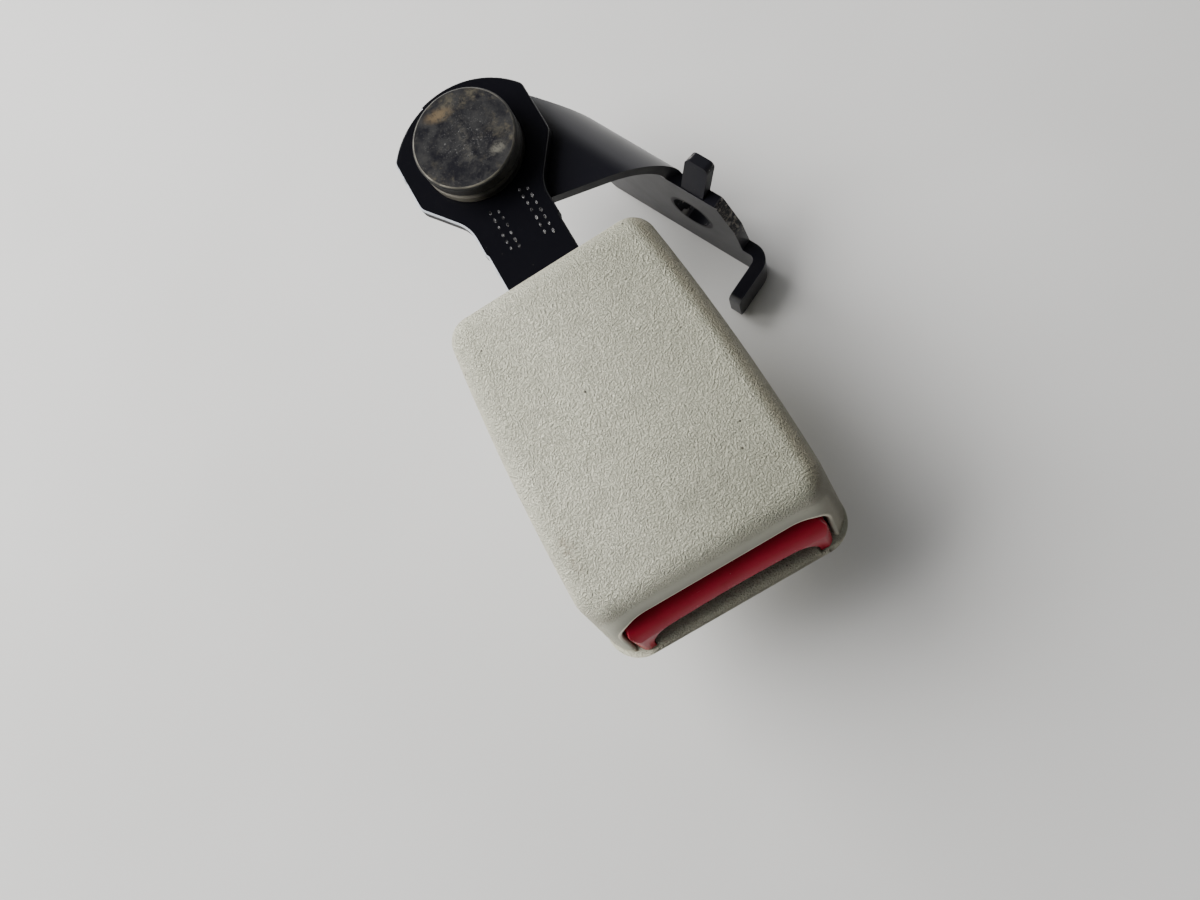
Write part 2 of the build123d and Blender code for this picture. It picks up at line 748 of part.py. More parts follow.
with BuildPart() as stalk:
    # side view: flat on the frame's base, joggled up to the pivot's level
    with BuildSketch(side_plane()):
        rise = strap_low - slot_low - part_gap
        lean = strap_thick * (rise / ((joggle_end - joggle_start) ** 2 + rise**2) ** 0.5) / 2
        low = slot_low + part_gap
        far = reach + head_crown + wall
        with BuildLine():
            Polyline(
                (strap_front, low),
                (joggle_start, low),
                (joggle_end, strap_low),
                (far, strap_low),
                (far, strap_top),
                (joggle_end - lean, strap_top),
                (joggle_start - lean, low + strap_thick),
                (strap_front, low + strap_thick),
                close=True,
            )
        make_face()
    extrude(amount=2 * head_half, both=True)
    # plan: strap and eyelet head
    with BuildSketch(Plane.XY.offset(slot_low)) as plan:
        with BuildLine():
            step_y = reach - strap_step_y
            half = strap_half
            Polyline(
                (half, step_y),
                (half, strap_front),
                (-half, strap_front),
                (-half, step_y),
                (-half - strap_step, step_y + 2 * strap_step),
                (-half - strap_step, reach - head_neck),
                (-head_half, reach - head_flat_front),
                (-head_half, reach + head_flat_rear),
            )
            notch_y = crown_y(head_notch_x)
            step_mid = (head_half + head_notch_x) / 2
            ThreePointArc(
                (-head_half, reach + head_flat_rear),
                (-step_mid, crown_y(step_mid) - head_notch),
                (-head_notch_x, notch_y - head_notch),
            )
            Line((-head_notch_x, notch_y - head_notch), (-head_notch_x, notch_y))
            ThreePointArc(
                (-head_notch_x, notch_y), (0, reach + head_crown), (head_half, reach + head_flat_rear)
            )
            Polyline(
                (head_half, reach + head_flat_rear),
                (head_half, reach - head_flat_front),
                (half + strap_step, reach - head_neck),
                (half + strap_step, step_y + 2 * strap_step),
                (half, step_y),
            )
        make_face()
        necks = plan.vertices().filter_by_position(Axis.Y, reach - head_neck - 0.1, reach - head_neck + 0.1)
        fillet(necks, head_neck_r)
        corners = plan.vertices().filter_by_position(
            Axis.Y, reach - head_flat_front - 0.1, reach - head_flat_front + 0.1
        )
        fillet(corners, head_corner_r)
        top_y = reach + head_flat_rear
        tops = plan.vertices().filter_by_position(Axis.Y, top_y - 0.1, top_y + 0.1)
        fillet(tops, head_corner_r / 2)
        with Locations((0, reach)):
            Circle(shoulder_r + fit_gap + bush_wall + pin_gap, mode=Mode.SUBTRACT)
        with both_sides(rivet_x, rivet_y):
            Circle(rivet_r + pin_gap, mode=Mode.SUBTRACT)
    extrude(amount=strap_top - slot_low, mode=Mode.INTERSECT)
    rolled = stalk.edges().filter_by_position(Axis.Z, strap_top - 0.01, strap_top + 0.01)
    rolled = rolled.filter_by_position(Axis.Y, joggle_end, far)
    fillet(rolled.filter_by(lambda e: e.distance_to(pivot) > rivet_disc_r), blank_edge_r)
save(stalk, "stalk")


def turned(points):
    """A round piece turned about the pivot from its half section."""
    with BuildPart() as piece:
        with BuildSketch(end_plane(reach)):
            with BuildLine():
                Polyline(*points, close=True)
            make_face()
        revolve(axis=Axis(pivot, (0, 0, 1)))
    return piece


with BuildPart() as stalk_rivets:
    seat = slot_low + part_gap + strap_thick
    with BuildSketch(Plane.XY.offset(base_low)):
        with both_sides(rivet_x, rivet_y):
            Circle(rivet_r)
    extrude(amount=seat - base_low)
    with BuildSketch(Plane.XY.offset(seat + pin_gap)):
        with both_sides(rivet_x, rivet_y):
            Circle(rivet_head_r)
    extrude(amount=rivet_head_thick, taper=rivet_head_taper)
    with BuildSketch(Plane.XY.offset(base_low - pin_gap)):
        with both_sides(rivet_x, rivet_y):
            Circle(rivet_head_r)
    extrude(amount=part_gap + inner_floor - base_low + 2 * pin_gap)
    with BuildSketch(Plane.XY.offset(base_low - pin_gap)):
        with both_sides(rivet_x, rivet_y):
            Circle(rivet_r)
    extrude(amount=seat - base_low + 2 * pin_gap)
save(stalk_rivets, "stalk_rivets")

# ---------------------------------------------------------------- pivot joint

tail_low = bracket_low - tail_washer_thick - 2 * pin_gap
pivot_rivet = turned(
    [
        (0, tail_low - tail_thick),
        (tail_r - tail_thick / 2, tail_low - tail_thick),
        (tail_r, tail_low - tail_thick / 2),
        (tail_r, tail_low),
        (shank_r, tail_low),
        (shank_r, bracket_top + pin_gap),
        (shoulder_r, bracket_top + pin_gap),
        (shoulder_r, ring_high + pin_gap),
        (groove_r, ring_high + pin_gap),
        (groove_r, disc_low),
        (rivet_disc_r - disc_chamfer, disc_low),
        (rivet_disc_r, disc_low + disc_chamfer),
        (rivet_disc_r, disc_high - disc_chamfer),
        (rivet_disc_r - disc_chamfer, disc_high),
        (0, disc_high),
    ]
)
save(pivot_rivet, "pivot_rivet")

spacer_ring = turned(
    [
        (shoulder_r + pin_gap, ring_low),
        (ring_r - disc_chamfer, ring_low),
        (ring_r, ring_low + disc_chamfer),
        (ring_r, ring_high - disc_chamfer),
        (ring_r - disc_chamfer, ring_high),
        (shoulder_r + pin_gap, ring_high),
    ]
)
save(spacer_ring, "spacer_ring")

pivot_bush = turned(
    [
        (shoulder_r + fit_gap, strap_low),
        (shoulder_r + fit_gap + bush_wall, strap_low),
        (shoulder_r + fit_gap + bush_wall, strap_top),
        (shoulder_r + fit_gap, strap_top),
    ]
)
save(pivot_bush, "pivot_bush")

friction_washer = turned(
    [
        (shoulder_r + pin_gap, bracket_top + face_gap),
        (washer_r, bracket_top + face_gap),
        (washer_r, bracket_top + face_gap + washer_thick),
        (shoulder_r + pin_gap, bracket_top + face_gap + washer_thick),
    ]
)
save(friction_washer, "friction_washer")

tail_washer = turned(
    [
        (shank_r + pin_gap, bracket_low - pin_gap - tail_washer_thick),
        (tail_washer_r, bracket_low - pin_gap - tail_washer_thick),
        (tail_washer_r, bracket_low - pin_gap),
        (shank_r + pin_gap, bracket_low - pin_gap),
    ]
)
save(tail_washer, "tail_washer")

# ---------------------------------------------------------------- anchor bracket


def section_plane(u):
    """Across the bend: its x is the bracket's v, its y the row's Z."""
    return Plane(origin=pivot + bend_dir * u, x_dir=out_dir, z_dir=bend_dir)


def plan_plane(height):
    """Level: its x is the bracket's u, its y the bracket's v."""
    return Plane(origin=(0, reach, height), x_dir=bend_dir, z_dir=(0, 0, 1))


def flange_plane(v):
    """Along the flange: its x is the bracket's u, its y the row's Z."""
    return Plane(origin=pivot + out_dir * v, x_dir=bend_dir, z_dir=-out_dir)


def nearest_edge(block, u, v, height):
    """The block's edge whose middle lies nearest to a place in the bracket's own axes."""
    place = pivot + bend_dir * u + out_dir * v + Vector(0, 0, height)
    return min(block.edges(), key=lambda e: ((e @ 0.5) - place).length)


def hull_of_plate():
    """The plate's outline above the arm: round at the pivot, slanting out to the flange."""
    with BuildSketch() as outline:
        Circle(plate_r)
        with BuildLine():
            Polyline(
                (plate_near_u, flange_v),
                (flange_rear_u + 1.5, flange_v),
                (flange_rear_u - 0.5, flange_v - 0.75),
                (plate_far_u, plate_far_v),
                close=True,
            )
        make_hull()
    return outline.sketch


with BuildPart() as anchor_bracket:
    # plate, bend and flange as one section
    inner_r = bend_r - bracket_thick
    with BuildSketch(section_plane(-plate_r)):
        with BuildLine():
            outer = FilletPolyline(
                (-plate_r, bracket_top), (flange_v, bracket_top), (flange_v, flange_low), radius=bend_r
            )
            inner = FilletPolyline(
                (-plate_r, bracket_low), (flange_inner_v, bracket_low), (flange_inner_v, flange_low),
                radius=inner_r,
            )
            Line(outer @ 0, inner @ 0)
            Line(outer @ 1, inner @ 1)
        make_face()
    extrude(amount=plate_r + hook_u - hook_bend_r)
    # above the arm only the plate's outline stays
    with BuildSketch(plan_plane(bracket_top)):
        Rectangle(wide, wide)
        add(hull_of_plate(), mode=Mode.SUBTRACT)
    extrude(amount=arm_top - bracket_top, mode=Mode.SUBTRACT)
    # the flange's side view below: rear edge, slanting front edge, hook strip
    with BuildSketch(flange_plane(flange_v + bend_r)):
        with BuildLine():
            Polyline(
                (-wide, arm_top),
                (flange_rear_u, arm_top),
                (flange_rear_u, flange_low - wall),
                (-wide, flange_low - wall),
                close=True,
            )
        make_face()
        with BuildLine():
            Polyline(
                (shoulder_u, arm_top),
                (shear_u, strap_top - shear_drop),
                (hook_root_u, hook_top),
                (wide, hook_top),
                (wide, bracket_top + wall),
                (shoulder_u, bracket_top + wall),
                close=True,
            )
        make_face()
    extrude(amount=wide, mode=Mode.SUBTRACT)
    # hook at the flange's front, turned back towards the pivot's side
    with BuildSketch(plan_plane(flange_low)):
        with BuildLine():
            around = FilletPolyline(
                (hook_u - hook_bend_r - bracket_thick, flange_v),
                (hook_u, flange_v),
                (hook_u, hook_tip_v),
                radius=hook_bend_r,
            )
            within = FilletPolyline(
                (hook_u - hook_bend_r - bracket_thick, flange_inner_v),
                (hook_u - bracket_thick, flange_inner_v),
                (hook_u - bracket_thick, hook_tip_v),
                radius=hook_bend_r - bracket_thick,
            )
            Line(around @ 0, within @ 0)
            Line(around @ 1, within @ 1)
        make_face()
    extrude(amount=hook_top - flange_low)
    # stop tab, leaning out
    with BuildSketch(section_plane(tab_u - tab_wide / 2)):
        out = Vector(sin(radians(tab_lean)), cos(radians(tab_lean)))
        foot = Vector(flange_v, arm_top - wall / 4)
        heel = Vector(flange_inner_v, arm_top - wall / 4)
        with BuildLine():
            Polyline(
                heel,
                foot,
                foot + out * tab_long,
                foot + out * tab_long + Vector(-out.Y, out.X) * bracket_thick,
                close=True,
            )
        make_face()
    extrude(amount=tab_wide)
    tip = foot + out * tab_long + Vector(-out.Y, out.X) * (bracket_thick / 2)
    for u in (tab_u - tab_wide / 2, tab_u + tab_wide / 2):
        fillet(nearest_edge(anchor_bracket, u, tip.X, tip.Y), tab_corner_r)
    # rounded corners of the blank
    middle_v = flange_v - bracket_thick / 2
    fillet(nearest_edge(anchor_bracket, hook_u - bracket_thick / 2, hook_tip_v, hook_top), hook_corner_r)
    fillet(nearest_edge(anchor_bracket, hook_u - bracket_thick / 2, hook_tip_v, flange_low), hook_corner_r)
    fillet(nearest_edge(anchor_bracket, flange_rear_u, middle_v, flange_low), flange_corner_r)
    fillet(nearest_edge(anchor_bracket, shoulder_u, middle_v, arm_top), shoulder_r_u)
    # holes
    with BuildSketch(plan_plane(bracket_top)):
        Circle(shank_r + pin_gap)
    extrude(amount=-bracket_thick, mode=Mode.SUBTRACT)
    with BuildSketch(flange_plane(flange_v)):
        with Locations((bolt_hole_u, strap_top - bolt_hole_drop)):
            Circle(bolt_hole_r)
    extrude(amount=bracket_thick, mode=Mode.SUBTRACT)
save(anchor_bracket, "anchor_bracket")
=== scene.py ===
import math
import random

import bmesh
import bpy
from mathutils import Matrix, Vector


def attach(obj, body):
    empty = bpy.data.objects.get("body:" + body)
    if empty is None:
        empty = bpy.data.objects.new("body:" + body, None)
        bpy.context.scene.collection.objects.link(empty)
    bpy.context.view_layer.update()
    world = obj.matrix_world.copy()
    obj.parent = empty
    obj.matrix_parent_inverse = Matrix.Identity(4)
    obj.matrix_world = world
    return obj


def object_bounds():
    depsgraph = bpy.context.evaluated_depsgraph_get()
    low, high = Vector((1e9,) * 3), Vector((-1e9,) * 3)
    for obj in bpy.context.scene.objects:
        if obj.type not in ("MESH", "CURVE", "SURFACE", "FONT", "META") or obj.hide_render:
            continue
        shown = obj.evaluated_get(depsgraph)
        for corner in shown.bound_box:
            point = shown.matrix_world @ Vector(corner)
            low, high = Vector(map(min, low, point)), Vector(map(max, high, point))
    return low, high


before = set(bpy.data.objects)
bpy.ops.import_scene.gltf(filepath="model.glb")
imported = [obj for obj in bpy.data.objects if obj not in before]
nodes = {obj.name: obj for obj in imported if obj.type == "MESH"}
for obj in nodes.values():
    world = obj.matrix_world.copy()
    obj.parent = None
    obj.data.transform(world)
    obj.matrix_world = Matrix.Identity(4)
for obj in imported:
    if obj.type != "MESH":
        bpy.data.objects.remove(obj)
cad_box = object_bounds()

MM = 0.001

# ------------------------------------------------------------------ places on the buckle
# x runs across it, y from the mouth to the pivot rivet, z up

# the pivot rivet's centre, and where the dark edge of its head starts
PIVOT_Y = 113 * MM
RIVET_EDGE = 11.1 * MM

# the stalk's upper face
STRAP_TOP = 6 * MM

# the mouth end slants back as it rises from its foot
MOUTH_LEAN = math.tan(math.radians(22))
MOUTH_FOOT = -3.6 * MM

# its opening: half the straight top, the height where the round corners start, their radius
MOUTH_STRAIGHT = 16.1 * MM
MOUTH_SHOULDER = 2.9 * MM
MOUTH_CORNER = 7.5 * MM

# the bracket's flange runs this way from the rivet; a place on it is that run and a height
FLANGE_TURN = math.radians(25)
FLANGE_RUN = (math.sin(FLANGE_TURN), -math.cos(FLANGE_TURN))
BOLT_HOLE = (40.18 * MM, -22.7 * MM)
TAB_RUN = 41.8 * MM

# ------------------------------------------------------------------ shader maths


class Val:
    """A number socket; Python operators on it add Math nodes to its graph."""

    def __init__(self, graph, socket):
        self.graph = graph
        self.socket = socket

    def math(self, operation, *terms):
        return self.graph.node("ShaderNodeMath", {"operation": operation}, terms)

    def __add__(self, other):
        return self.math("ADD", self, other)

    __radd__ = __add__

    def __sub__(self, other):
        return self.math("SUBTRACT", self, other)

    def __rsub__(self, other):
        return self.math("SUBTRACT", other, self)

    def __mul__(self, other):
        return self.math("MULTIPLY", self, other)

    __rmul__ = __mul__

    def __truediv__(self, other):
        return self.math("DIVIDE", self, other)

    def __pow__(self, other):
        return self.math("POWER", self, other)

    def __abs__(self):
        return self.math("ABSOLUTE", self)

    def least(self, other):
        return self.math("MINIMUM", self, other)

    def most(self, other):
        return self.math("MAXIMUM", self, other)

    def between(self, low, high):
        """0 below low, 1 above high, smooth in between; low above high turns it round."""
        if low > high:
            return 1 - self.between(high, low)
        return self.graph.node(
            "ShaderNodeMapRange",
            {"interpolation_type": "SMOOTHSTEP"},
            {"Value": self, "From Min": low, "From Max": high},
        )


class Graph:
    """A node tree whose nodes all come from one method."""

    def __init__(self, tree):
        self.tree = tree

    def plug(self, value, socket):
        """Links a socket or sets its value; a colour may leave out its alpha."""
        source = value.socket if isinstance(value, Val) else value
        if isinstance(source, bpy.types.NodeSocket):
            self.tree.links.new(source, socket)
        elif isinstance(source, tuple):
            opaque = (1,) * (len(socket.default_value) - len(source))
            socket.default_value = source + opaque
        else:
            socket.default_value = source

    def node(self, kind, settings, sockets=(), output=0):
        """Makes a node, its settings first; a number output comes back as a Val."""
        made = self.tree.nodes.new(kind)
        for name, value in settings.items():
            if name == "stops":
                ramp = made.color_ramp
                while len(ramp.elements) < len(value):
                    ramp.elements.new(0.5)
                for stop, (position, colour) in zip(ramp.elements, value):
                    stop.position = position
                    stop.color = (*colour, 1)
                ramp.interpolation = "EASE"
            else:
                setattr(made, name, value)
        pairs = sockets.items() if isinstance(sockets, dict) else enumerate(sockets)
        for name, value in pairs:
            self.plug(value, made.inputs[name])
        out = made.outputs[output]
        return Val(self, out) if out.type == "VALUE" else out

    def split(self, vector):
        """A vector's x, y and z, as numbers."""
        first = self.node("ShaderNodeSeparateXYZ", {}, (vector,))
        return [Val(self, part) for part in first.socket.node.outputs]


class Finish(Graph):
    """A procedural material on the Principled shader, its colour laid on in layers."""

    def __init__(self, name, base, roughness, metallic=0.0, **fixed):
        self.material = bpy.data.materials.new(name)
        self.material.use_nodes = True
        super().__init__(self.material.node_tree)
        self.shader = self.tree.nodes["Principled BSDF"]
        self.colour = base
        self.plug(base, self.shader.inputs["Base Color"])
        self.plug(roughness, self.shader.inputs["Roughness"])
        self.plug(metallic, self.shader.inputs["Metallic"])
        for socket, value in fixed.items():
            self.plug(value, self.shader.inputs[socket.replace("_", " ")])
        self.place = self.node("ShaderNodeTexCoord", {}, (), "Object")

    def axes(self):
        """The place on the surface, in metres."""
        return self.split(self.place)

    def slope(self):
        """The surface's own direction."""
        return self.split(self.node("ShaderNodeNewGeometry", {}, (), "Normal"))

    def noise(self, size, detail=2.0, roughness=0.5, distortion=0.0, stretch=None):
        """Cloudy pattern about size metres across, from 0 to 1."""
        where = self.place
        if stretch:
            where = self.node("ShaderNodeVectorMath", {"operation": "MULTIPLY"}, (where, stretch))
        return self.node(
            "ShaderNodeTexNoise",
            {},
            {
                "Vector": where,
                "Scale": 1 / size,
                "Detail": detail,
                "Roughness": roughness,
                "Distortion": distortion,
            },
            "Fac",
        )

    def cells(self, size):
        """Distance from scattered points about size metres apart, as a share of size."""
        return self.node(
            "ShaderNodeTexVoronoi", {}, {"Vector": self.place, "Scale": 1 / size}, "Distance"
        )

    def mix(self, factor, first, second):
        """A colour between two colours."""
        sockets = {0: factor, 6: first, 7: second}
        return self.node("ShaderNodeMix", {"data_type": "RGBA"}, sockets, 2)

    def lay(self, mask, colour):
        """Lays a colour over the ones below it, where the mask says."""
        self.colour = self.mix(mask, self.colour, colour)

    def feed(self, socket, value):
        self.plug(value, self.shader.inputs[socket])

    def settle(self, roughness):
        """Feeds the finished colour and the roughness."""
        self.feed("Base Color", self.colour)
        self.feed("Roughness", roughness)

    def bump(self, height, depth, strength):
        sockets = {"Height": height, "Distance": depth, "Strength": strength}
        self.feed("Normal", self.node("ShaderNodeBump", {}, sockets, "Normal"))


def away(x, y, centre, spread=(1, 1)):
    """Distance from a centre; spread stretches its rings to ellipses."""
    off_x = (x - centre[0]) / spread[0]
    off_y = (y - centre[1]) / spread[1]
    return (off_x * off_x + off_y * off_y) ** 0.5


def mouth_gap(x, z):
    """Distance out from the outline of the mouth's opening."""
    across = abs(x) - MOUTH_STRAIGHT
    above = z - MOUTH_SHOULDER
    beside = across.most(0.0)
    over = above.most(0.0)
    inside = across.most(above).least(0.0)
    return (beside * beside + over * over) ** 0.5 + inside - MOUTH_CORNER


def along_flange(x, y):
    """The part of a place or a direction that lies along the flange's run."""
    return x * FLANGE_RUN[0] + y * FLANGE_RUN[1]


# ------------------------------------------------------------------ finishes
# colours are linear red, green and blue


def grained_cover():
    """Pale warm-grey moulding with a leather grain, paler and yellower on its sides, scuffed and
    dirty, with painted shade in the grain's hollows, towards the right and the front, on the
    right side, over the smooth band and in the mouth's lip, and a painted highlight where the
    skin turns into the opening.
    """
    f = Finish("grained_cover", (0.50, 0.50, 0.45), 0.62)
    x, y, z = f.axes()
    nx, _, nz = f.slope()
    broad = f.noise(24 * MM, 3, 0.6)
    patch = f.noise(7 * MM, 3, 0.6)

    # smooth where the skin rolls over to the opening, nearly so along the parting line
    gap = mouth_gap(x, z)
    face = y - MOUTH_LEAN * (z - MOUTH_FOOT)
    front = face.between(4.6 * MM, 3.0 * MM) * z.between(-3.2 * MM, -2.2 * MM)
    band = front * gap.between(6.0 * MM, 3.6 * MM)
    low = z.between(-2.6 * MM, -3.4 * MM)
    skin = (1 - band) * (1 - low * 0.7)

    # grain: short winding ridges with creases between them, and fine pebbles
    warp = f.noise(0.44 * MM, 1.5, 0.5, 0.5)
    crease = abs(warp - 0.5).between(0.0, 0.1)
    pebble = f.noise(0.36 * MM, 1.0, 0.5, 0.1)
    height = crease * 0.38 + pebble.between(0.3, 0.7) * 0.76 - 0.67

    # moulded colour, cloudy, with painted shade in the creases and between the pebbles
    f.colour = f.mix(broad.between(0.35, 0.7), (0.81, 0.80, 0.65), (0.735, 0.73, 0.585))
    f.lay(patch.between(0.45, 0.75) * 0.32, (0.49, 0.485, 0.395))
    f.lay((1 - crease) * skin * 0.12, (0.22, 0.215, 0.165))
    f.lay(pebble.between(0.5, 0.36) * skin * 0.36, (0.24, 0.235, 0.18))

    # painted shade, greyer towards the right and the front
    shade_right_front = x.between(-18 * MM, 20 * MM) * 0.64 + y.between(40 * MM, 4 * MM) * 0.42
    f.lay(shade_right_front, (0.37, 0.37, 0.29))

    # the sides are paler and yellower; painted shade darkens the smooth band, deepest beside the
    # opening
    sides = 1 - nz.between(0.3, 0.9)
    f.lay(sides * 0.65, (0.80, 0.765, 0.61))
    f.lay(band * 0.6, (0.34, 0.35, 0.28))
    f.lay(front * gap.between(3.6 * MM, 1.0 * MM) * 0.5, (0.23, 0.225, 0.17))

    # a painted highlight: a thin pale line where the skin turns into the opening
    line = abs(gap - 0.55 * MM).between(0.45 * MM, 0.25 * MM)
    line = line * y.between(9.5 * MM, 8 * MM) * z.between(1 * MM, 6 * MM)
    f.lay(line * 0.8, (0.92, 0.86, 0.68))

    # rubbed-in dirt near the mouth and along the right edge
    dirt = f.noise(9 * MM, 5, 0.72).between(0.48, 0.74)
    reach = y.between(36 * MM, 8 * MM) * 0.55 + x.between(12 * MM, 25 * MM) * 0.5
    f.lay(dirt * reach * 0.42, (0.27, 0.26, 0.20))
    streak = f.noise(3.2 * MM, 4, 0.75, 0.0, (1.0, 0.35, 1.0)).between(0.58, 0.72) * reach
    f.lay(streak * 0.35, (0.22, 0.21, 0.165))

    # painted shade on the right side, deepest at the front corner and mottled with the dirt, and
    # painted shade in the mouth's lower lip
    right_side_shade = nx.between(0.08, 0.6) * (0.70 + y.between(30 * MM, 6 * MM) * 0.1 + dirt * 0.12)
    f.lay(right_side_shade, (0.20, 0.18, 0.125))
    lip = z.between(-2.7 * MM, -2.9 * MM) * y.between(7 * MM, 4 * MM)
    lip = lip * abs(x).between(23 * MM, 17 * MM)
    f.lay(lip * 0.72, (0.16, 0.15, 0.11))

    # a brown scuff on the left edge and a grey smudge on the top
    scuff = away(x, y, (-22.3 * MM, 24 * MM), (2.2, 6.5)).between(1 * MM, 0.1 * MM)
    f.lay(scuff * f.noise(1.6 * MM, 4, 0.7).between(0.42, 0.6) * 0.5, (0.34, 0.27, 0.19))
    smudge = away(x, y, (6 * MM, 21 * MM), (8.5, 5.5)).between(1 * MM, 0.2 * MM)
    f.lay(smudge * f.noise(2.2 * MM, 4, 0.7).between(0.4, 0.62) * 0.4, (0.28, 0.28, 0.225))

    # dark specks of two sizes
    speck = f.cells(3.4 * MM).between(0.1, 0.06) * f.noise(9 * MM, 1).between(0.5, 0.56)
    f.lay(speck * 0.85, (0.05, 0.045, 0.035))
    small = f.cells(1.5 * MM).between(0.075, 0.04) * f.noise(6 * MM, 2).between(0.57, 0.66)
    f.lay(small * 0.6, (0.13, 0.12, 0.09))

    f.settle(0.58 + broad * 0.1 - band * 0.1)
    f.bump(height * skin + f.noise(1.4 * MM, 2) * 0.12, 0.54 * MM, 1.0)
    return f


def red_button():
    """Glossy dark red moulding, a little worn along its lower edge, with painted shade under the
    cover's rim and a painted pale reflection low down.
    """
    f = Finish("red_button", (0.22, 0.003, 0.012), 0.24, Specular_IOR_Level=0.15)
    x, _, z = f.axes()
    cloud = f.noise(6 * MM, 3, 0.6)
    f.colour = f.mix(cloud.between(0.4, 0.7), (0.36, 0.002, 0.022), (0.30, 0.002, 0.017))

    # painted shade under the cover's rim, and a painted pale reflection towards its lower edge
    f.lay(z.between(5.2 * MM, 9.0 * MM) * 0.95, (0.085, 0.001, 0.006))
    f.lay(z.between(5.2 * MM, 2.9 * MM) * 0.5, (0.47, 0.028, 0.058))

    # nicks in the lower edge and a few flecks
    edge = abs(z - 2.8 * MM).between(0.6 * MM, 0.2 * MM) * abs(x).between(17 * MM, 14 * MM)
    nick = f.noise(0.45 * MM, 2, 0.6, 0.8).between(0.58, 0.66)
    nick = nick * f.noise(3.0 * MM, 2).between(0.44, 0.56) * edge
    fleck = f.cells(2.2 * MM).between(0.06, 0.03) * f.noise(7 * MM, 1).between(0.5, 0.6)
    f.lay(nick.most(fleck) * 0.5, (0.50, 0.22, 0.20))

    hair = f.noise(0.8 * MM, 3, 0.7, 0.0, (0.1, 1.0, 1.0))
    f.settle(0.2 + cloud * 0.07 + hair.between(0.6, 0.8) * 0.06)
    f.bump(f.noise(1.6 * MM, 2) + nick * 0.4, 0.01 * MM, 0.4)
    return f


class BlackCoat(Finish):
    """Black electro-coated steel: glossy faces, duller sheared edges."""

    def __init__(self, name, grey, coat_roughness, specular):
        black = (grey, grey, grey * 1.5)
        super().__init__(
            name, black, 0.5, Coat_Roughness=coat_roughness, Specular_IOR_Level=specular
        )
        self.cloud = self.noise(11 * MM, 4, 0.65)
        scuff = self.noise(1.1 * MM, 4, 0.75, 0.4).between(0.66, 0.8)
        self.scuff = scuff * self.noise(8 * MM, 2).between(0.52, 0.68)
        self.lay(self.scuff * 0.4, (0.05, 0.05, 0.052))
        dust = self.cells(1.7 * MM).between(0.06, 0.03)
        self.lay(dust * self.noise(7 * MM, 1).between(0.52, 0.62) * 0.5, (0.14, 0.13, 0.11))

    def close(self, cut, coat):
        """Feeds the shader; cut is 1 on sheared edges, coat is how thick the gloss is."""
        torn = self.noise(0.9 * MM, 3, 0.7, 0.5, (1.0, 1.0, 0.5))
        ripple = self.noise(0.4 * MM, 2, 0.5) * 0.4 + self.noise(1.9 * MM, 2) * 0.4
        self.settle(0.45 + self.cloud.between(0.35, 0.7) * 0.1 + self.scuff * 0.2)
        self.feed("Coat Weight", (1 - cut) * (1 - self.scuff * 0.4) * coat)
        self.bump(ripple + torn * cut * 1.5, 0.014 * MM, 0.5)


def stalk_coat():
    """Black coat with a painted highlight along its rolled edge on the left and the front."""
    f = BlackCoat("black_coat_stalk", 0.0035, 0.18, 0.12)
    nx, ny, nz = f.slope()
    # painted highlight on the rolled edge, streaky, on the left and the front
    rolled = nz.between(0.02, 0.2) * nz.between(0.995, 0.96)
    lit_front_left = (nx * -0.8 - ny * 0.6).between(0.0, 0.3)
    streaky = f.noise(6 * MM, 3, 0.6).between(0.25, 0.5)
    f.lay(rolled * lit_front_left * streaky * 0.9, (0.50, 0.53, 0.58))
    f.close(cut=1 - abs(nz).between(0.15, 0.5), coat=0.75)
    return f


def bracket_coat():
    """Black coat, torn on the sheared front edge with painted highlights there, painted shade in
    the bolt hole's entry, a painted sheen over the bend, and dull on the flange.
    """
    f = BlackCoat("black_coat_bracket", 0.006, 0.36, 0.2)
    x, y, z = f.axes()
    nx, ny, nz = f.slope()
    run = along_flange(x, y - PIVOT_Y)
    cut = abs(along_flange(nx, ny)).between(0.3, 0.5) * run.between(54 * MM, 52.5 * MM)

    # torn metal on the sheared front edge, lightened as painted highlights, and a painted
    # highlight on its rolled-over corner
    torn = f.noise(1.0 * MM, 3, 0.7, 0.5).between(0.5, 0.62)
    f.lay(torn * run.between(46.5 * MM, 48 * MM) * cut * 0.75, (0.21, 0.185, 0.15))
    rolled = nz.between(0.3, 0.5) * nz.between(0.95, 0.8) * cut
    f.lay(rolled * f.noise(2 * MM, 3).between(0.5, 0.62) * 0.6, (0.3, 0.29, 0.28))

    # painted shade in the bolt hole's rounded entry
    entry = away(run, z, BOLT_HOLE).between(6.4 * MM, 5.7 * MM) * abs(nz).between(0.5, 0.3)
    f.lay(entry * 0.8, (0.002, 0.002, 0.003))

    # the flange's flat sides, the tab, and a painted sheen over the wide bend
    flat = abs(nz).between(0.2, 0.05) * z.between(-1 * MM, -6 * MM)
    tab = abs(run - TAB_RUN).between(3.5 * MM, 3.1 * MM) * nz.between(0.15, 0.3)
    bend = nz.between(0.995, 0.9) * nz.between(0.05, 0.3) * (1 - cut) * (1 - tab)
    f.lay(bend, (0.034, 0.034, 0.038))
    f.close(cut=cut.most(entry), coat=(1 - flat * 0.5) * (1 - tab) * (1 - bend * 0.08))
    return f


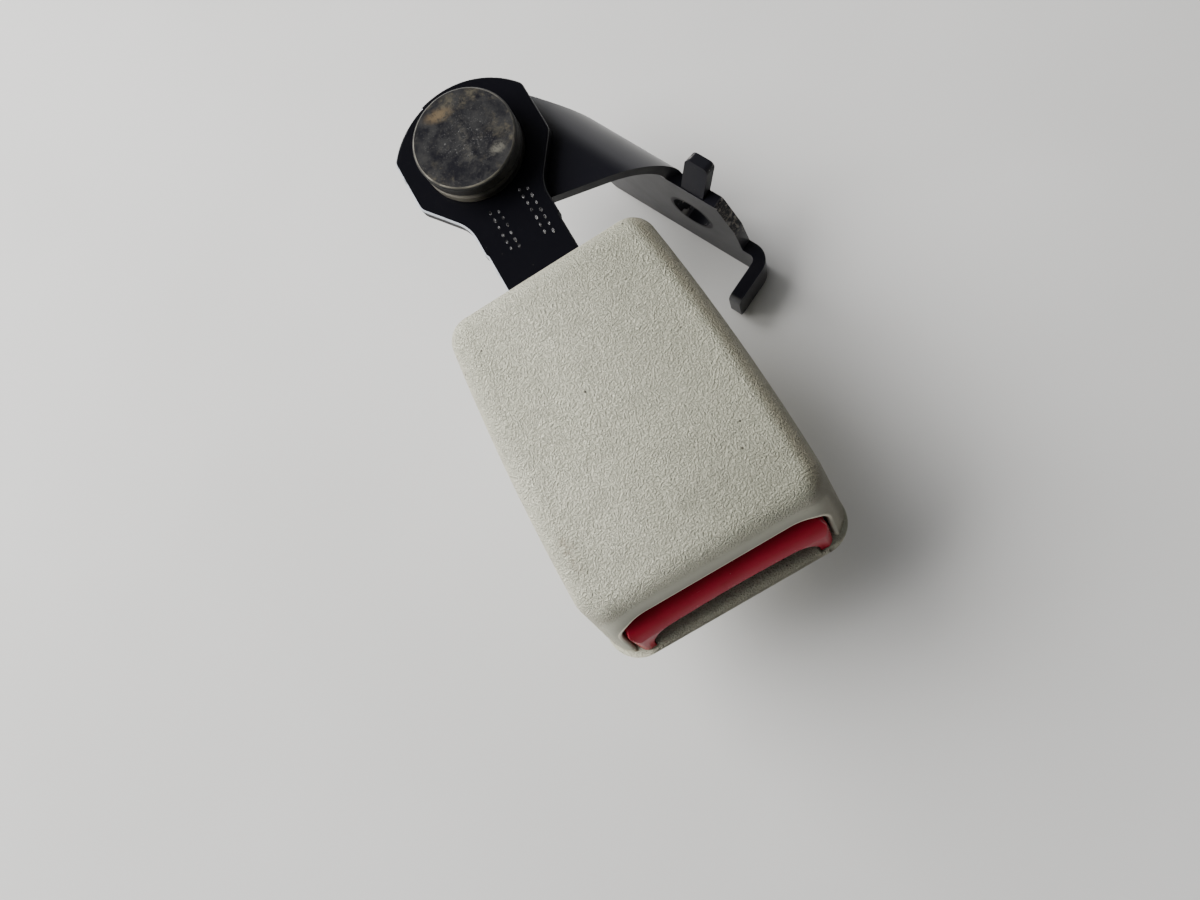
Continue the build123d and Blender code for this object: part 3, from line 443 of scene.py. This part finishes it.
def worn_rivet():
    """Blackened rivet head, blotched blue-black, grey and tan, with rust, a thin painted
    highlight on its rim and painted shade on its side.
    """
    f = Finish("worn_rivet", (0.03, 0.03, 0.033), 0.45, 0.2)
    x, y, _ = f.axes()
    nz = f.slope()[2]
    off_y = y - PIVOT_Y
    radius = away(x, off_y, (0, 0))
    cloud = f.noise(4.2 * MM, 5, 0.66, 0.4)
    fine = f.noise(1.2 * MM, 5, 0.75, 0.5)
    grit = f.noise(0.4 * MM, 3, 0.7)
    f.colour = f.mix(cloud.between(0.36, 0.64), (0.008, 0.008, 0.011), (0.026, 0.026, 0.027))
    f.lay(fine.between(0.48, 0.72) * 0.5, (0.046, 0.044, 0.040))

    # tan stains, thickest towards the edge
    stain = f.noise(5.5 * MM, 4, 0.65, 0.3).between(0.5, 0.66) * fine.between(0.34, 0.6)
    f.lay(stain * (0.25 + radius.between(4 * MM, 10.5 * MM) * 0.6), (0.082, 0.073, 0.052))

    # a rust patch, longer along a line that tilts a little
    rust_x = x + 2.4 * MM
    rust_y = off_y - 7.7 * MM
    long_way = rust_x * 0.98 - rust_y * 0.2
    short_way = rust_y * 0.98 + rust_x * 0.2
    spot = (long_way * long_way * 0.8 + short_way * short_way * 3.2) ** 0.5
    rust = spot.between(3.9 * MM, 0.8 * MM) * f.noise(1.5 * MM, 4, 0.7).between(0.30, 0.56)
    f.lay(rust * 0.8, (0.13, 0.096, 0.057))

    # a pale smear through the middle, fine dusting and a bruise near the edge
    smear = abs(x * 0.97 - off_y * 0.22).between(1.3 * MM, 0.2 * MM)
    smear = smear * off_y.between(6 * MM, 2 * MM) * off_y.between(-8.5 * MM, -4 * MM)
    f.lay(smear * fine.between(0.42, 0.62) * 0.25, (0.13, 0.122, 0.10))
    dusting = f.cells(0.5 * MM).between(0.34, 0.16) * f.noise(2 * MM, 4, 0.7).between(0.44, 0.6)
    f.lay(dusting * 0.4, (0.08, 0.078, 0.074))
    bruise = away(x, off_y, (5.2 * MM, -6.4 * MM), (1, 0.79)).between(2.6 * MM, 0.4 * MM)
    f.lay(bruise * fine.between(0.36, 0.6) * 0.8, (0.13, 0.125, 0.105))

    # struck metal in the middle, and dark grit
    glint = f.noise(0.36 * MM, 2, 0.6, 0.8).between(0.60, 0.68)
    glint = glint * f.noise(1.5 * MM, 3, 0.6).between(0.44, 0.56)
    struck = radius.between(6.5 * MM, 2 * MM) * glint
    f.lay(struck, (0.22, 0.22, 0.215))
    f.lay(grit.between(0.40, 0.32) * 0.6, (0.008, 0.008, 0.010))

    # a dark edge with a thin painted highlight on its rim, brightest on the front left
    edge = radius.between(RIVET_EDGE, RIVET_EDGE + 0.1 * MM)
    f.lay(edge, (0.012, 0.012, 0.012))
    lit_front_left = (x * -0.86 - off_y * 0.48).between(-3 * MM, 10 * MM)
    rim = edge * radius.between(11.55 * MM, 11.3 * MM) * nz.between(0.3, 0.6)
    rim = rim * (0.3 + f.noise(3.4 * MM, 3).between(0.36, 0.62) * 0.7) * (0.4 + lit_front_left * 0.6)
    f.lay(rim, (0.26, 0.245, 0.20))

    # painted shade on the head's side
    f.lay(1 - nz.between(0.1, 0.4), (0.008, 0.0075, 0.0065))

    f.settle(0.42 + fine * 0.26 + rust * 0.2 - rim * 0.12)
    f.feed("Metallic", struck * 0.6 + rim * 0.35 + 0.05)
    f.bump(fine * 0.6 + grit * 0.5 + struck * 0.4, 0.05 * MM, 0.7)
    return f


def ring_steel():
    """Worn steel ring, pale on its front left where painted light falls."""
    f = Finish("ring_steel", (0.07, 0.065, 0.055), 0.38, 0.4)
    x, y, _ = f.axes()
    cloud = f.noise(2.5 * MM, 4, 0.6)
    f.colour = f.mix(cloud.between(0.4, 0.7), (0.012, 0.0115, 0.010), (0.022, 0.021, 0.018))
    # painted light on the front left
    lit_front_left = (x * -0.8 - (y - PIVOT_Y) * 0.6).between(8.5 * MM, 11.6 * MM)
    f.lay(lit_front_left * (0.6 + cloud * 0.4), (0.24, 0.225, 0.19))
    f.settle(0.36 + cloud * 0.2)
    f.bump(f.noise(0.4 * MM, 2), 0.02 * MM, 0.5)
    return f


def plated_steel():
    """Zinc-plated steel, faintly brushed along the buckle."""
    f = Finish("plated_steel", (0.42, 0.40, 0.35), 0.36, 0.9)
    cloud = f.noise(6 * MM, 3, 0.6)
    brushed = f.noise(0.5 * MM, 3, 0.6, 0.0, (1.0, 0.05, 1.0))
    f.colour = f.mix(cloud.between(0.35, 0.7), (0.46, 0.44, 0.39), (0.36, 0.33, 0.26))
    f.settle(0.28 + cloud * 0.12 + brushed * 0.12)
    f.bump(brushed, 0.015 * MM, 0.5)
    return f


def spring_wire():
    """Drawn steel wire."""
    f = Finish("spring_wire", (0.33, 0.32, 0.31), 0.3, 0.95)
    drawn = f.noise(0.3 * MM, 2)
    f.colour = f.mix(drawn.between(0.35, 0.7), (0.36, 0.35, 0.34), (0.25, 0.24, 0.23))
    f.settle(0.24 + drawn * 0.16)
    return f


def dark_moulding():
    """Near-black plastic of the sliding parts."""
    f = Finish("dark_moulding", (0.022, 0.022, 0.023), 0.5)
    cloud = f.noise(3 * MM, 3)
    f.colour = f.mix(cloud.between(0.4, 0.7), (0.020, 0.020, 0.021), (0.032, 0.031, 0.030))
    f.settle(0.42 + cloud * 0.18)
    f.bump(f.noise(0.4 * MM, 2), 0.02 * MM, 0.5)
    return f


def bearing_plastic():
    """Cream plastic of the pivot's bush and washer."""
    f = Finish("bearing_plastic", (0.45, 0.43, 0.38), 0.5)
    cloud = f.noise(2 * MM, 3)
    f.colour = f.mix(cloud.between(0.4, 0.7), (0.48, 0.46, 0.41), (0.38, 0.35, 0.28))
    f.settle(0.4 + cloud * 0.2)
    return f


def struck_coat():
    """Coat that the punch has broken, bright metal showing in streaks."""
    f = Finish("struck_coat", (0.30, 0.30, 0.31), 0.2, 0.85)
    rubbed = f.noise(0.7 * MM, 3, 0.7)
    f.colour = f.mix(rubbed.between(0.42, 0.6), (0.05, 0.05, 0.053), (0.75, 0.75, 0.76))
    f.settle(0.14 + rubbed * 0.2)
    return f


def pale_floor():
    """Light grey board that stays pale far away from the lamps."""
    f = Finish("pale_floor", (0.62, 0.62, 0.62), 0.5, Emission_Strength=1)
    x, y, _ = f.axes()
    tone = f.noise(140 * MM, 3).between(0.3, 0.7)
    f.feed("Base Color", f.mix(tone, (0.64, 0.64, 0.64), (0.59, 0.59, 0.585)))
    far = away(x, y, (0, 0)).between(0.5, 1.6) * 0.4
    f.feed("Emission Color", f.mix(far, (0, 0, 0), (1, 1, 1)))
    return f


FRAME_STEEL = (
    "buckle_frame",
    "latch",
    "latch_pin",
    "lock_bar",
    "stalk_rivets",
    "tail_washer",
    "cover_pins",
)
SPRINGS = ("latch_spring", "ejector_spring", "button_spring_left", "button_spring_right")

for finish, names in (
    (grained_cover(), ("upper_cover", "lower_cover")),
    (red_button(), ("release_button",)),
    (stalk_coat(), ("stalk",)),
    (bracket_coat(), ("anchor_bracket",)),
    (worn_rivet(), ("pivot_rivet",)),
    (ring_steel(), ("spacer_ring",)),
    (plated_steel(), FRAME_STEEL),
    (spring_wire(), SPRINGS),
    (dark_moulding(), ("tongue_guide", "ejector")),
    (bearing_plastic(), ("pivot_bush", "friction_washer")),
):
    for name in names:
        nodes[name].data.materials.clear()
        nodes[name].data.materials.append(finish.material)

# ------------------------------------------------------------------ punch marks on the strap


def object_from(bm, name, finish):
    """Makes a finished bmesh an object at the origin."""
    mesh = bpy.data.meshes.new(name)
    bm.to_mesh(mesh)
    bm.free()
    mesh.materials.append(finish.material)
    made = bpy.data.objects.new(name, mesh)
    bpy.context.collection.objects.link(made)
    return made


# a mark's rings after its foot, as a share of its size and a height in millimetres
MARK_RINGS = ((0.77808, 0.13), (0.48367, 0.02), (0.21029, 0.005))


def punch_mark(bm, x, y, across, along):
    """One punch mark: a thrown-up lip round a small pit, longer along the strap."""
    foot = bmesh.ops.create_circle(bm, cap_ends=False, segments=10, radius=1.0)["verts"]
    circle = [v.co.copy() for v in foot]
    top = bm.faces.new(foot)

    def set_top(share, height):
        for v, spot in zip(top.verts, circle):
            v.co = (x + spot.x * across * share, y + spot.y * along * share, STRAP_TOP + height)

    set_top(1.0, -0.01 * MM)
    for share, lift in MARK_RINGS:
        bmesh.ops.inset_individual(bm, faces=[top], thickness=0.1 * across)
        set_top(share, lift * MM)


# four rows along the strap, as x, number of marks and first y, all in millimetres
ROWS = ((-3.6, 6, 89.0), (-1.8, 6, 88.4), (4.4, 7, 88.2), (6.1, 7, 87.3))
ROW_STEP = 1.9

marks = bmesh.new()
dice = random.Random(7)
for column, count, first in ROWS:
    for row in range(count):
        sway = dice.uniform(-0.12, 0.12)
        size = dice.uniform(0.85, 1.15)
        x = column + sway
        y = first + row * ROW_STEP + dice.uniform(-0.15, 0.15)
        punch_mark(marks, x * MM, y * MM, 0.3 * size * MM, 0.5 * size * MM)
bmesh.ops.recalc_face_normals(marks, faces=marks.faces)
punch_marks = object_from(marks, "punch_marks", struck_coat())
for face in punch_marks.data.polygons:
    face.use_smooth = True
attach(punch_marks, "buckle")

# ------------------------------------------------------------------ floor, light and camera

OBJECT_MIDDLE = Vector((0, 0.06, 0))

board = bmesh.new()
bmesh.ops.create_grid(board, x_segments=2, y_segments=2, size=1.6)
lowest = cad_box[0][2]
bmesh.ops.translate(board, verts=board.verts, vec=(0, OBJECT_MIDDLE.y, lowest - 0.02 * MM))
floor = object_from(board, "floor", pale_floor())


def lamp(name, place, width, height, power, colour=(1, 1, 1)):
    """A soft rectangular light that points at the object and leaves no glare on it."""
    data = bpy.data.lights.new(name, "AREA")
    data.shape = "RECTANGLE"
    data.size = width
    data.size_y = height
    data.energy = power
    data.color = colour
    made = bpy.data.objects.new(name, data)
    bpy.context.collection.objects.link(made)
    made.location = place
    made.rotation_euler = (OBJECT_MIDDLE - Vector(place)).to_track_quat("-Z", "Y").to_euler()
    made.visible_glossy = False


lamp("window", (-0.45, 0.5, 0.6), 0.8, 0.62, 20.8, (1.0, 0.985, 0.955))
lamp("ceiling", (-0.3, 0.4, 1.2), 1.3, 1.0, 5.0)
lamp("near_fill", (-0.35, -0.6, 0.85), 0.6, 0.6, 0.7)

# the room: pale at the horizon, dark overhead, brighter on the window's side
SKY = ((0.0, 1.2), (0.2, 0.65), (0.45, 0.1), (0.8, 0.015))
WINDOW_SIDE = (-0.5, 0.85, 0)
world = bpy.data.worlds.new("room")
world.use_nodes = True
bpy.context.scene.world = world
room = Graph(world.node_tree)
background = room.tree.nodes["Background"]
aim = room.node("ShaderNodeTexCoord", {}, (), "Generated")
stops = [(height, (level, level * 1.005, level * 1.03)) for height, level in SKY]
sky = room.node("ShaderNodeValToRGB", {"stops": stops}, (room.split(aim)[2],))
facing = room.node(
    "ShaderNodeVectorMath", {"operation": "DOT_PRODUCT"}, (aim, WINDOW_SIDE), "Value"
)
share = room.node(
    "ShaderNodeMapRange",
    {},
    {"Value": facing, "From Min": -1, "From Max": 1, "To Min": 0.12, "To Max": 1.4},
)
room.plug(sky, background.inputs["Color"])
room.plug(share, background.inputs["Strength"])

eye = bpy.data.cameras.new("eye")
eye.sensor_fit = "HORIZONTAL"
eye.sensor_width = 36
eye.lens = 30
eye.clip_start = 0.01
camera = bpy.data.objects.new("eye", eye)
bpy.context.collection.objects.link(camera)
right = Vector((0.8518634, -0.4847177, -0.1984376))
down = Vector((-0.5143031, -0.8458026, -0.1418105))
ahead = Vector((-0.0991010, 0.2228602, -0.9698001))
turn = Matrix((right, -down, -ahead)).transposed().to_4x4()
camera_place = Vector((11.68446, -4.98007, 204.85401)) * MM
camera.matrix_world = Matrix.Translation(camera_place) @ turn
bpy.context.scene.camera = camera
